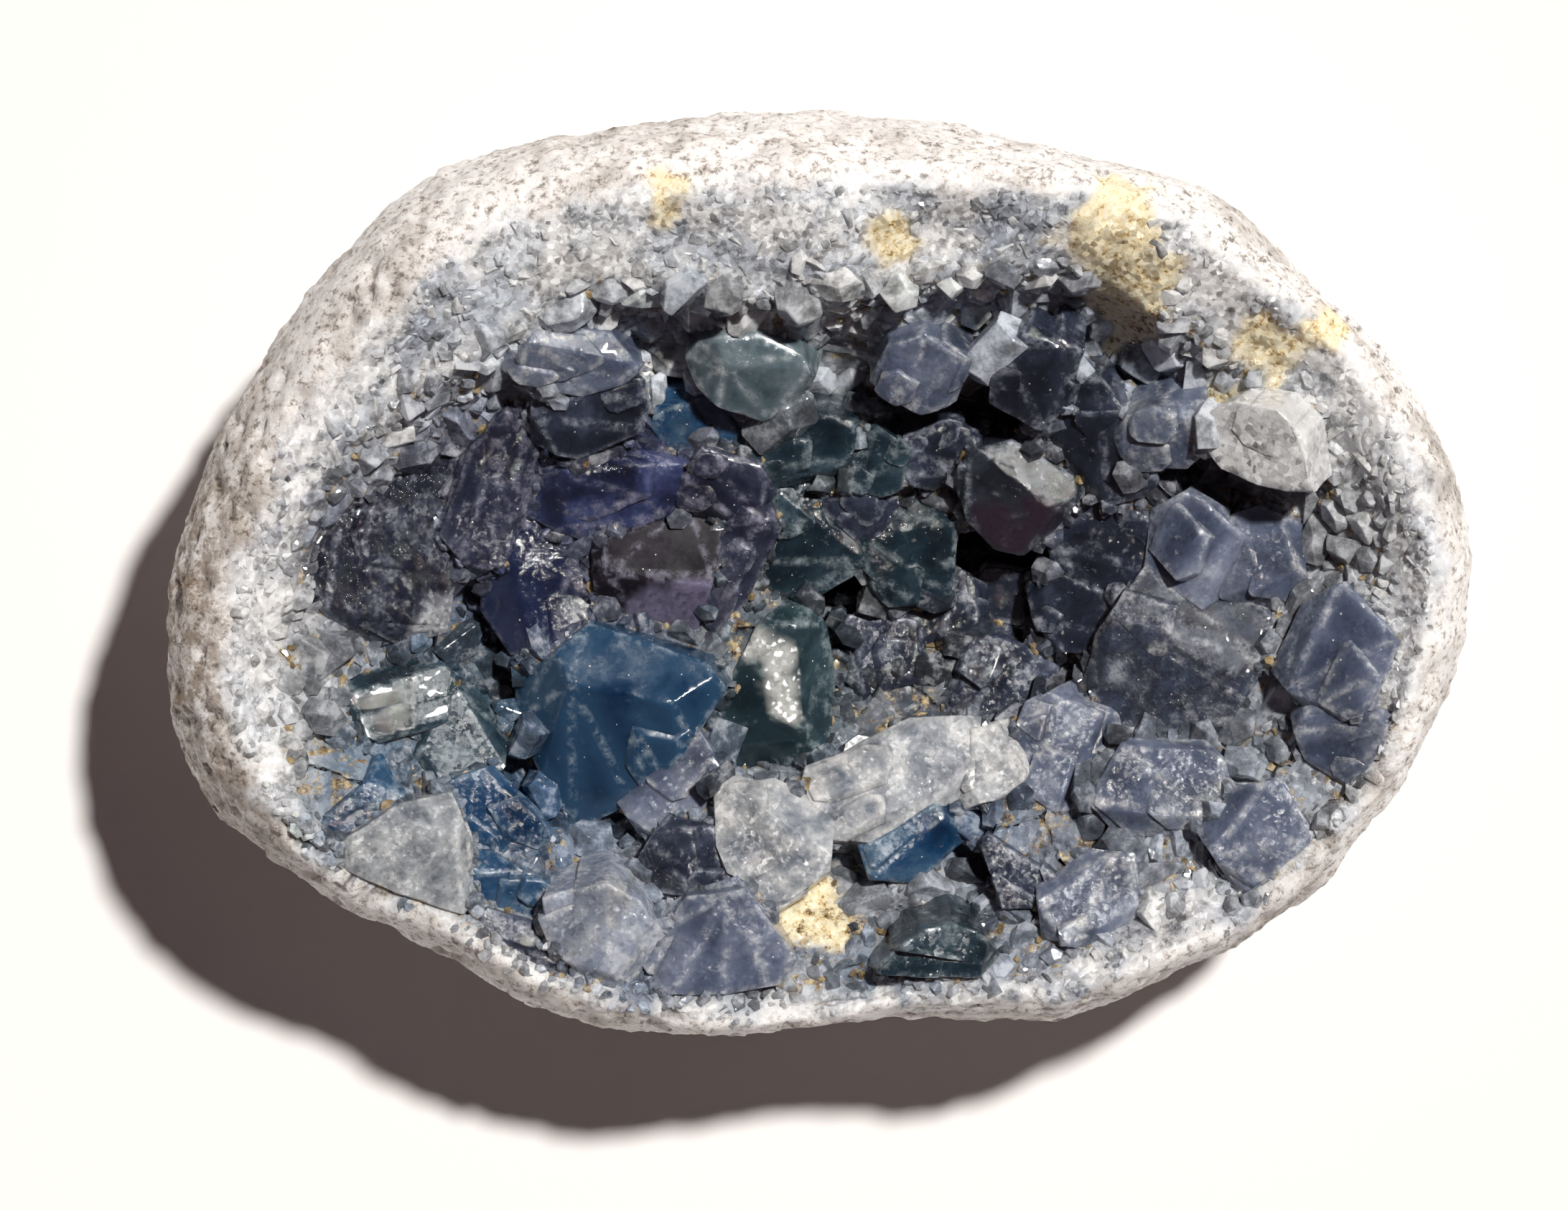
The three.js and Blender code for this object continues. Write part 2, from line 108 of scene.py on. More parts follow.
def convexCopy(name):  # a crystal as it grew, before its neighbours cut into it
    bm = nodeCopy(name)
    bmesh.ops.remove_doubles(bm, verts=bm.verts, dist=0.15 * mm)
    made = bmesh.ops.convex_hull(bm, input=bm.verts)
    loose = set(made["geom_interior"]) | set(made["geom_unused"])
    bmesh.ops.delete(bm, geom=[v for v in loose if isinstance(v, bmesh.types.BMVert)], context="VERTS")
    hullFaces = set(f for f in made["geom"] if isinstance(f, bmesh.types.BMFace))
    bmesh.ops.delete(bm, geom=[f for f in bm.faces if f not in hullFaces], context="FACES_ONLY")
    bmesh.ops.dissolve_limit(bm, angle_limit=math.radians(9), verts=bm.verts, edges=bm.edges)
    bmesh.ops.recalc_face_normals(bm, faces=bm.faces)
    return bm


# camera, light and floor

view = {
    "middle": (-2.98, -2.62),  # under the middle of the picture
    "width": 132.8,  # what the picture spans at the height of the nodule's widest line
    "height": 24,
    "lens": 150,
    "sensor": 36,
}
camera = bpy.data.cameras.new("camera")
camera.lens = view["lens"]
camera.sensor_width = view["sensor"]
camera.clip_start = 0.01
cameraObject = bpy.data.objects.new("camera", camera)
cameraObject.location = (
    view["middle"][0] * mm, view["middle"][1] * mm,
    (view["height"] + view["width"] * view["lens"] / view["sensor"]) * mm,
)
scene.collection.objects.link(cameraObject)
scene.camera = cameraObject

light = {
    "azimuth": 46,  # where it stands, anticlockwise from +X
    "elevation": 62,
    "strength": 4.0,
    "spread": 4,  # degrees across, a small soft box some way off
    "fill": 0.055,
}
sun = bpy.data.lights.new("keyLight", "SUN")
sun.energy = light["strength"]
sun.angle = math.radians(light["spread"])
sun.color = linear("fffdf9")[:3]
sunObject = bpy.data.objects.new("keyLight", sun)
sunObject.rotation_euler = (
    0, math.radians(90 - light["elevation"]), math.radians(light["azimuth"]),
)
scene.collection.objects.link(sunObject)

world = bpy.data.worlds.new("fill")
world.use_nodes = True
world.node_tree.nodes["Background"].inputs["Color"].default_value = linear("ffdae4")
world.node_tree.nodes["Background"].inputs["Strength"].default_value = light["fill"]
scene.world = world
scene.view_settings.view_transform = "Standard"
scene.cycles.use_denoising = True
scene.cycles.max_bounces = 8
scene.cycles.diffuse_bounces = 3
scene.cycles.glossy_bounces = 3
scene.cycles.transmission_bounces = 5
scene.cycles.caustics_reflective = False
scene.cycles.caustics_refractive = False

floorPaint = bpy.data.materials.new("mattWhitePaper")  # a plain pale sheet, no gloss
floorPaint.use_nodes = True
tree = floorPaint.node_tree
shader = tree.nodes["Principled BSDF"]
shader.inputs["Base Color"].default_value = linear("f2efed")
shader.inputs["Roughness"].default_value = 0.9
bm = bmesh.new()
bmesh.ops.create_grid(bm, x_segments=1, y_segments=1, size=1.5)
floorMesh = bpy.data.meshes.new("floor")
bm.to_mesh(floorMesh)
bm.free()
floor = bpy.data.objects.new("floor", floorMesh)
floorMesh.materials.append(floorPaint)
scene.collection.objects.link(floor)
print("camera, light and floor set")


# the growth: what colour the crystal mass has at each place, from the rim down into the hollow

growth = {
    "colours": [  # x, y and the colour of what grows there
        (-38, 3, "717789"), (-30, 8, "5a607a"), (-22, 10, "4c5270"), (-24, 0, "3e4974"), (-14, 10, "484a68"),
        (-30, -10, "4e697c"), (-38, -16, "7b90a3"), (-24, -18, "3f678c"), (-32, -26, "a9b2bc"),
        (-20, -30, "7888a0"), (-12, -20, "7a8594"), (-8, -30, "a2a8b2"), (-4, -10, "4f626c"),
        (-6, 8, "2e4655"), (2, 8, "3c5059"), (4, 2, "33424b"), (12, 8, "424b5b"), (20, 8, "4a5164"),
        (28, 6, "454b5e"), (10, -6, "323a46"), (18, -8, "4e5464"), (24, -2, "4c5265"), (32, -8, "858c99"),
        (42, -6, "a9aeb7"), (42, -16, "a2a9b3"), (34, -22, "a2aab5"), (24, -20, "8d95a2"), (14, -22, "7688a0"),
        (8, -26, "b0b3b9"), (4, -34, "93a0b0"), (18, -32, "98a2b2"), (0, 22, "dadde1"), (-14, 20, "ccd1d7"),
        (12, 20, "c0c5cd"), (24, 18, "8f95a0"), (34, 14, "cdd0d4"), (-24, 18, "d2d5d9"), (-38, 12, "d6d7da"),
        (46, 0, "ebebec"), (0, 30, "f6f5f4"), (-20, 28, "f2f1ef"), (-48, -2, "f0ece8"), (-46, -14, "ebe9e7"),
        (30, 26, "f4f1ed"), (50, -6, "f2f0ed"), (44, 12, "f2f0ee"), (46, -20, "ebe9e8"), (0, -38, "e0dfdf"),
        (-28, -34, "e0dfdf"), (30, -32, "e4e2e2"),
    ],
    "cool": (0.96, 0.99, 1.04),  # the whole growth leans to blue
    "reach": 1.5,
    "sugar": "f8f6f4",  # fine white grains
    "patch": 4.5,
}


def growthTones(places):  # a linear colour for each row of x, y, z in mm
    spots = np.array([spot[:2] for spot in growth["colours"]])
    tones = np.array([linear(spot[2])[:3] for spot in growth["colours"]])
    share = 1 / (((places[:, None, :2] - spots) ** 2).sum(2) + growth["reach"]) ** 1.6
    return share @ (tones * growth["cool"]) / share.sum(1, keepdims=True)


def sugarShare(point, hollowShare):  # how much of the white grain there is: most on the broken rim
    cloud = noise.noise(point / (growth["patch"] * mm)) + 0.7 * noise.noise(point / (1.7 * mm))
    return smoothStep(-0.5, 0.4, cloud) * (1 - 0.85 * hollowShare)


# the rind: one weathered stone, its outer skin, its broken rim and the seams between crystals

rind = {
    "voxel": 0.6,
    "crestInside": [4, 5, 7, 8, 7, 3.5, 1.5, 3],  # crest to widest line, by compass side
    "brokenWidth": [4, 7, 9, 8, 4, 3, 2.2, 3.5],  # granular face inside the crest
    "swell": 1.0,  # crystals closer than this have the stone grown up between them
    "crystalSink": 0.3,  # the stone stays this far under a crystal's faces
    "hollowFloor": 13,  # nothing below this height is inside the hollow
    "seamPaintedShade": 0.75,  # painted shade: how light the stone is kept in the hollow between the crystals, next to them, darkened where shade falls
    "ochre": [  # iron-stained patches: x, y and radius
        (24.5, 28.5, 4.4), (26, 24, 4.4), (-12.8, 31.5, 2.4), (37.5, 18.5, 2.8), (41, 20, 2.2), (35, 15, 1.6),
        (5.5, 27.5, 1.5), (0, -28, 3.0), (-3, -20, 1.2),
    ],
}
crystalNames = [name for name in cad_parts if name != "stone_shell"]
hulls = {name: convexCopy(name) for name in crystalNames}
hullPlanes = {
    name: [(f.normal.copy(), max(f.normal.dot(v.co) for v in bm.verts))
           for f in bm.faces if f.calc_area() > 0.3 * mm * mm]
    for name, bm in hulls.items()
}
cellSize = 3 * mm  # crystals are looked up by the column of air that they stand in
crystalCells = {}
for name in crystalNames:
    low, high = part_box(name)
    for i in range(int((low.x - 3 * mm) // cellSize), int((high.x + 3 * mm) // cellSize) + 1):
        for j in range(int((low.y - 3 * mm) // cellSize), int((high.y + 3 * mm) // cellSize) + 1):
            crystalCells.setdefault((i, j), []).append(name)


def nearestFace(point):  # mm inside the nearest named crystal, negative outside, and the face's direction
    deepest, facing = -3.0, None
    for name in crystalCells.get((int(point.x // cellSize), int(point.y // cellSize)), ()):
        depth, direction = min(((place - n.dot(point)) / mm, i) for i, (n, place) in enumerate(hullPlanes[name]))
        if depth > deepest:
            deepest, facing = depth, hullPlanes[name][direction][0]
    return deepest, facing


def sunkInto(point):  # the place just under the faces of the crystal that the point lies on
    for _ in range(5):
        depth, facing = nearestFace(point)
        if facing is None or depth > rind["crystalSink"] - 0.02:
            break
        point = point - facing * ((rind["crystalSink"] - depth) * mm)
    return point


joined = nodeCopy("stone_shell")
reach = {}  # the widest radius of the stone in each 6-degree sector
for edge in joined.edges:
    for share in range(9):
        x, y, _ = edge.verts[0].co.lerp(edge.verts[1].co, share / 8) / mm
        sector = int(math.degrees(math.atan2(y, x)) % 360 / 6)
        reach[sector] = max(reach.get(sector, 0), math.hypot(x, y))
rough = bpy.data.meshes.new("roughStone")
for bm in hulls.values():  # swollen past their sockets' gaps, so that stone and crystals close up
    swollen = bm.copy()
    for v in swollen.verts:
        v.co += v.normal * rind["swell"] * mm
    swollen.to_mesh(rough)
    swollen.free()
    joined.from_mesh(rough)
joined.to_mesh(rough)
joined.free()
holder = bpy.data.objects.new("roughStone", rough)
scene.collection.objects.link(holder)
remesh = holder.modifiers.new("voxels", "REMESH")
remesh.mode = "VOXEL"
remesh.voxel_size = rind["voxel"] * mm
stone = bpy.data.meshes.new_from_object(holder.evaluated_get(bpy.context.evaluated_depsgraph_get()))
bpy.data.objects.remove(holder)
print("rind remeshed:", len(stone.polygons), "faces")


def insideCrest(point):  # mm inside the crest line as seen from above, and the broken face's width
    angle = math.atan2(point.y, point.x)
    place = math.degrees(angle) % 360 / 6 - 0.5
    sector = math.floor(place)
    share = place - sector
    radius = reach[sector % 60] * (1 - share) + reach[(sector + 1) % 60] * share
    inside = radius - math.hypot(point.x, point.y) / mm - around(rind["crestInside"], angle)
    return inside, around(rind["brokenWidth"], angle)


def facetHeight(point, size, seed):  # grains with one tilted face each, about -1 to 1
    place = point / (size * mm) + Vector((seed, 0, 0))
    middle = noise.voronoi(place)[1][0]
    direction = noise.noise_vector(middle * 7.3)
    return direction.dot(place - middle) * 1.6 + 0.5 * noise.noise(middle * 3.1)


zones = {"broken": [], "hollow": [], "ochre": []}
sugar = []
insides = []
moves = []
for v in stone.vertices:
    point, normal = v.co.copy(), v.normal.copy()
    inside, width = insideCrest(point)
    flat = Vector((point.x, point.y, 0)).normalized()
    inwards = point.z > 24 * mm or (point.z > rind["hollowFloor"] * mm
                                    and (inside > 4 or (normal.dot(flat) < 0.15 and inside > 0)))
    ragged = 1.8 * noise.noise(point / (4.2 * mm)) + 0.9 * noise.noise(point / (1.4 * mm))
    isBroken = smoothStep(-0.8, 0.9, inside + ragged) if inwards else 0.0
    isHollow = smoothStep(width - 2.0, width + 1.0, inside + ragged) if inwards else 0.0
    depth, facing = nearestFace(point) if inside > -3 and inwards else (-3.0, None)
    underCrystal = smoothStep(-1.7, -1.3, depth) * smoothStep(0.2, 0.6, facing.dot(normal)) if facing else 0.0
    isHollow, isBroken = max(isHollow, underCrystal), max(isBroken, underCrystal)
    stain = max(smoothStep(radius + 0.6, radius - 0.9, math.hypot(point.x / mm - x, point.y / mm - y) + 1.5 * ragged)
                for x, y, radius in rind["ochre"])
    zones["broken"].append(isBroken)
    zones["hollow"].append(isHollow)
    zones["ochre"].append(stain if point.z > 20 * mm else 0.0)
    sugar.append(sugarShare(point, isHollow))
    insides.append(inside)
    lump = noise.noise(point / (5.2 * mm)) * 0.45 + noise.noise(point / (2.3 * mm)) * 0.3
    grain = noise.voronoi(point / (1.1 * mm))[0][0]
    pit = smoothStep(0.24, 0.46, noise.noise(point / (1.9 * mm) + Vector((9, 4, 2)))) * 0.5
    skinMove = lump + 0.36 * (0.45 - grain) - pit
    brokenMove = 0.3 * facetHeight(point, 2.8, 3) + 0.16 * facetHeight(point, 1.4, 8)
    move = skinMove * (1 - isBroken) + brokenMove * isBroken
    goal = point + normal * (move * smoothStep(0.3, 2.5, point.z / mm) * mm)  # none at the resting facet
    if underCrystal > 0:
        goal = goal.lerp(sunkInto(point), underCrystal)
    moves.append(goal - point)
for v, move in zip(stone.vertices, moves):
    v.co += move
for zone, values in zones.items():
    stone.attributes.new(zone, "FLOAT", "POINT").data.foreach_set("value", values)
sugarTone = np.array(linear(growth["sugar"])[:3])
white = np.array(sugar)[:, None]
tones = growthTones(np.array([v.co for v in stone.vertices]) / mm) * (1 - white) + sugarTone * white
# painted shade: the stone's tone is darkened across the hollow, between the crystals
tones *= 1 - (1 - rind["seamPaintedShade"]) * np.array(zones["hollow"])[:, None]
tints = np.hstack([tones, np.ones_like(white)])
stone.attributes.new("tint", "FLOAT_COLOR", "POINT").data.foreach_set("color", tints.ravel())
stone.shade_smooth()
print("rind shaped", round(time.perf_counter() - started), "s")

# weathered celestine and limestone: a chalky white rind of fused grains, cream and brown where iron
# has stained it, with dark specks in its pits; where it is broken it is sugary and half clear, white
# and blue-grey in patches, and its cleaved grains glint one by one
rindStone = bpy.data.materials.new("weatheredRind")
rindStone.use_nodes = True
tree = rindStone.node_tree
shader = tree.nodes["Principled BSDF"]
place = addNode(tree, "TexCoord").outputs["Object"]
brokenHere = addNode(tree, "Attribute", attribute_name="broken").outputs["Fac"]
hollowHere = addNode(tree, "Attribute", attribute_name="hollow").outputs["Fac"]
ochreHere = addNode(tree, "Attribute", attribute_name="ochre").outputs["Fac"]
tintHere = addNode(tree, "Attribute", attribute_name="tint").outputs["Color"]
patches = addNode(tree, "TexNoise", {"Vector": place, "Scale": 1000 / 9, "Detail": 7, "Roughness": 0.7})
skin = addNode(tree, "ValToRGB", {"Fac": patches.outputs["Fac"]}, stops=[
    (0.34, "aea7a1"), (0.43, "dcd6d1"), (0.5, "f6f2ef"), (0.6, "fbf8f6"), (0.7, "eadfd2"),
])
low = addNode(tree, "SeparateXYZ", {"Vector": place})
under = addNode(tree, "MapRange", {"Value": low.outputs["Z"], "From Min": 26 * mm, "From Max": 8 * mm})
west = addNode(tree, "MapRange", {"Value": low.outputs["X"], "From Min": -42 * mm, "From Max": -54 * mm})
worst = addNode(tree, "Math", {0: under.outputs["Result"], 1: west.outputs["Result"]}, operation="MAXIMUM")
dirtNoise = addNode(tree, "TexNoise", {"Vector": place, "Scale": 1000 / 2.2, "Detail": 6, "Roughness": 0.75})
dirtSpot = addNode(tree, "MapRange", {"Value": dirtNoise.outputs["Fac"], "From Min": 0.43, "From Max": 0.56})
dirt = addNode(tree, "Math", {0: worst.outputs["Value"], 1: dirtSpot.outputs["Result"]}, operation="MULTIPLY")
soiled = addNode(tree, "Mix", {0: dirt.outputs["Value"], 6: skin.outputs["Color"], 7: linear("8f7b67")},
                 data_type="RGBA")
grit = addNode(tree, "TexNoise", {"Vector": place, "Scale": 1000 / 0.8, "Detail": 5, "Roughness": 0.75})
gritDark = addNode(tree, "ValToRGB", {"Fac": grit.outputs["Fac"]}, stops=[
    (0.35, "4d423b"), (0.41, "a79d95"), (0.46, "eae6e3"), (0.53, "ffffff"),
])
skinGritty = addNode(tree, "Mix", {0: 0.8, 6: soiled.outputs[2], 7: gritDark.outputs["Color"]},
                     data_type="RGBA", blend_type="MULTIPLY")
grains = addNode(tree, "TexNoise", {"Vector": place, "Scale": 1000 / 2.4, "Detail": 6, "Roughness": 0.72})
grainTone = addNode(tree, "ValToRGB", {"Fac": grains.outputs["Fac"]}, stops=[
    (0.33, "6f7278"), (0.39, "b4b6ba"), (0.45, "e8e8e9"), (0.54, "ffffff"),
])
growthTone = addNode(tree, "Mix", {0: 0.9, 6: tintHere, 7: grainTone.outputs["Color"]},
                     data_type="RGBA", blend_type="MULTIPLY")
brokenSkin = addNode(tree, "Mix", {0: brokenHere, 6: skinGritty.outputs[2], 7: growthTone.outputs[2]},
                     data_type="RGBA")
iron = addNode(tree, "ValToRGB", {"Fac": grit.outputs["Fac"]}, stops=[
    (0.35, "8f6f45"), (0.41, "dcc18c"), (0.47, "f4e4bd"), (0.62, "f9eed4"),
])
stained = addNode(tree, "Mix", {0: ochreHere, 6: brokenSkin.outputs[2], 7: iron.outputs["Color"]},
                  data_type="RGBA")
goldNoise = addNode(tree, "TexNoise", {"Vector": place, "Scale": 1000 / 2.0, "Detail": 7, "Roughness": 0.75})
goldSpot = addNode(tree, "MapRange", {"Value": goldNoise.outputs["Fac"], "From Min": 0.53, "From Max": 0.6})
gold = addNode(tree, "Math", {0: hollowHere, 1: goldSpot.outputs["Result"]}, operation="MULTIPLY")
goldTone = addNode(tree, "ValToRGB", {"Fac": grit.outputs["Fac"]}, stops=[
    (0.38, "3b3026"), (0.48, "8f7550"), (0.58, "cdb98f"),
])
coloured = addNode(tree, "Mix", {0: gold.outputs["Value"], 6: stained.outputs[2], 7: goldTone.outputs["Color"]},
                   data_type="RGBA")
tree.links.new(coloured.outputs[2], shader.inputs["Base Color"])
fine = addNode(tree, "Bump", {"Height": grit.outputs["Fac"], "Strength": 0.8, "Distance": 0.22 * mm})
cleaved = addNode(tree, "TexVoronoi", {"Vector": place, "Scale": 1000 / 0.45})
tilt = addNode(tree, "VectorMath", {0: cleaved.outputs["Color"], 1: (0.5, 0.5, 0.5)}, operation="SUBTRACT")
tiltHere = addNode(tree, "VectorMath", {0: tilt.outputs[0], "Scale": brokenHere}, operation="SCALE")
tipped = addNode(tree, "VectorMath", {0: tiltHere.outputs[0], 1: (0.9, 0.9, 0.9), 2: fine.outputs["Normal"]},
                 operation="MULTIPLY_ADD")
facing = addNode(tree, "VectorMath", {0: tipped.outputs[0]}, operation="NORMALIZE")
tree.links.new(facing.outputs[0], shader.inputs["Normal"])
chosen = addNode(tree, "SeparateColor", {"Color": cleaved.outputs["Color"]})
bright = addNode(tree, "MapRange", {"Value": chosen.outputs["Red"], "From Min": 0.45, "From Max": 0.75,
                                    "To Min": 0.55, "To Max": 0.12})
polish = addNode(tree, "Mix", {0: brokenHere, 2: 0.7, 3: bright.outputs["Result"]}, data_type="FLOAT")
tree.links.new(polish.outputs[0], shader.inputs["Roughness"])
shader.inputs["IOR"].default_value = 1.6
shader.inputs["Subsurface Weight"].default_value = 0.5
shader.inputs["Subsurface Radius"].default_value = (1.1, 1.0, 0.95)
shader.inputs["Subsurface Scale"].default_value = 1.5 * mm
addPiece("rind", stone, rindStone, ["stone_shell"])


# crystals

def celestine(name, look):
    material = bpy.data.materials.new(name)
    material.use_nodes = True
    tree = material.node_tree
    shader = tree.nodes["Principled BSDF"]
    place = addNode(tree, "TexCoord").outputs["Object"]
    cloud = addNode(tree, "TexNoise", {"Vector": place, "Scale": 1000 / look["cloudSize"], "Detail": 7,
                                       "Roughness": 0.58, "Distortion": 0.3})
    body = addNode(tree, "ValToRGB", {"Fac": cloud.outputs["Fac"]}, stops=[
        (0.36, look["deep"]), (0.5, look["clear"]), (0.63, look["veil"]), (0.76, look["frost"]),
    ])
    gap = addNode(tree, "Attribute", attribute_name="edgeGap").outputs["Fac"]
    glow = addNode(tree, "MapRange", {"Value": gap, "From Max": look["edgeWidth"],
                                      "To Min": look["edgeShare"], "To Max": 0.0},
                   interpolation_type="SMOOTHSTEP")
    soft = addNode(tree, "Mix", {0: glow.outputs["Result"], 6: body.outputs["Color"],
                                 7: linear(look["veil"])}, data_type="RGBA")
    grain = addNode(tree, "TexNoise", {"Vector": place, "Scale": 1000 / 1.1, "Detail": 7, "Roughness": 0.7})
    wear = addNode(tree, "MapRange", {"Value": grain.outputs["Fac"], "From Min": 0.45, "From Max": 0.7})
    line = addNode(tree, "MapRange", {"Value": gap, "From Min": 0.05, "From Max": 0.5,
                                      "To Min": 1.0, "To Max": 0.0})
    worn = addNode(tree, "Math", {0: line.outputs["Result"], 1: wear.outputs["Result"]}, operation="MULTIPLY")
    edged = addNode(tree, "Mix", {0: worn.outputs["Value"], 6: soft.outputs[2],
                                  7: linear(look["edge"])}, data_type="RGBA")
    flecks = addNode(tree, "MapRange", {"Value": grain.outputs["Fac"], "From Min": 0.6, "From Max": 0.7,
                                        "To Max": look["flecks"]})
    flecked = addNode(tree, "Mix", {0: flecks.outputs["Result"], 6: edged.outputs[2],
                                    7: linear(look["edge"])}, data_type="RGBA")
    # white specks, partly dust and partly painted glints: pale dots in the colour stand in for the sun catching tiny
    # facets
    dust = addNode(tree, "TexVoronoi", {"Vector": place, "Scale": 1000 / 0.55})
    glintDustPick = addNode(tree, "SeparateColor", {"Color": dust.outputs["Color"]})
    glintDustCloud = addNode(tree, "TexNoise", {"Vector": place, "Scale": 1000 / 2.5, "Detail": 3})
    glintDustRare = addNode(tree, "MapRange", {"Value": glintDustCloud.outputs["Fac"], "From Min": 0.35, "From Max": 0.7,
                                          "To Min": 1.0, "To Max": look["dustFrom"]})
    glintDustSome = addNode(tree, "Math", {0: glintDustPick.outputs["Red"], 1: glintDustRare.outputs["Result"]},
                       operation="GREATER_THAN")
    glintDustSize = addNode(tree, "MapRange", {"Value": glintDustPick.outputs["Green"], "To Min": 0.05, "To Max": 0.15})
    glintDustSpot = addNode(tree, "Math", {0: dust.outputs["Distance"], 1: glintDustSize.outputs["Result"]},
                       operation="LESS_THAN")
    glintDustHere = addNode(tree, "Math", {0: glintDustSpot.outputs["Value"], 1: glintDustSome.outputs["Value"]},
                       operation="MULTIPLY")
    glintDusted = addNode(tree, "Mix", {0: glintDustHere.outputs["Value"], 6: flecked.outputs[2],
                                  7: linear("f2f0ec")}, data_type="RGBA")
    spotHere = addNode(tree, "Attribute", attribute_name="spot").outputs["Fac"]
    spotted = addNode(tree, "Mix", {0: spotHere, 6: glintDusted.outputs[2], 7: linear(look.get("spot", look["frost"]))},
                      data_type="RGBA")
    tree.links.new(spotted.outputs[2], shader.inputs["Base Color"])
    shader.inputs["IOR"].default_value = look["ior"]
    shader.inputs["Transmission Weight"].default_value = 0.2
    shader.inputs["Coat Weight"].default_value = look["gloss"]
    shader.inputs["Coat Roughness"].default_value = 0.04
    shader.inputs["Subsurface Weight"].default_value = look["milk"]
    shader.inputs["Subsurface Radius"].default_value = (0.9, 1.0, 1.15)
    shader.inputs["Subsurface Scale"].default_value = 1.6 * mm
    frosty = addNode(tree, "MapRange", {"Value": cloud.outputs["Fac"], "From Min": 0.5, "From Max": 0.68,
                                        "To Min": look["roughness"], "To Max": 0.4})
    tree.links.new(frosty.outputs["Result"], shader.inputs["Roughness"])
    fine = addNode(tree, "Bump", {"Height": grain.outputs["Fac"], "Strength": look["relief"],
                                  "Distance": 0.25 * mm})
    flakes = addNode(tree, "TexVoronoi", {"Vector": place, "Scale": 1000 / look["flakeSize"]})
    tilt = addNode(tree, "VectorMath", {0: flakes.outputs["Color"], 1: (0.5, 0.5, 0.5)}, operation="SUBTRACT")
    glint = addNode(tree, "MapRange", {"Value": spotHere, "To Min": look["glitter"], "To Max": look["spotGlitter"]})
    tiltHere = addNode(tree, "VectorMath", {0: tilt.outputs[0], "Scale": glint.outputs["Result"]}, operation="SCALE")
    tipped = addNode(tree, "VectorMath", {0: tiltHere.outputs[0], 1: fine.outputs["Normal"]}, operation="ADD")
    facing = addNode(tree, "VectorMath", {0: tipped.outputs[0]}, operation="NORMALIZE")
    tree.links.new(facing.outputs[0], shader.inputs["Normal"])
    return material


looks = {
    "deepBlue": {"deep": "0b2c4c", "clear": "18446c", "veil": "426484", "frost": "8298ab", "edge": "a9b9c6"},
    "slate": {"deep": "181c27", "clear": "282f3e", "veil": "464d62", "frost": "868da2", "edge": "b4b9c6"},
    "teal": {"deep": "0f1e28", "clear": "1d303b", "veil": "384d5a", "frost": "84949b", "edge": "a6b4ba"},
    "violet": {"deep": "181b29", "clear": "262a3f", "veil": "404459", "frost": "7f8094", "edge": "a5a4b6"},
    "mist": {"deep": "465066", "clear": "667088", "veil": "8c94a8", "frost": "c4c8d2", "edge": "e0e2e6"},
    "pale": {"deep": "7f8aa0", "clear": "a4acbe", "veil": "c8cdd8", "frost": "eeeff2", "edge": "fafafa"},
    "white": {"deep": "6f7885", "clear": "a9aeb5", "veil": "dcdddf", "frost": "fcfbfa", "edge": "ffffff"},
}
slots = {
    "deepBlue": "deep_blue_celestine", "slate": "slate_celestine", "teal": "teal_celestine",
    "violet": "violet_celestine", "mist": "grey_celestine", "pale": "pale_celestine",
    "white": "frosted_celestine",
}
for name, look in looks.items():
    look.update(cloudSize=6, edgeWidth=1.0, edgeShare=0.3, flecks=0.35, roughness=0.07, relief=0.45,
                flakeSize=0.35, glitter=0.3, spotGlitter=0.3, dustFrom=0.6, ior=1.62, milk=0.4, gloss=0.4)
    if name in ("white", "pale"):
        look.update(cloudSize=3, relief=0.6, glitter=0.5, gloss=0.1)
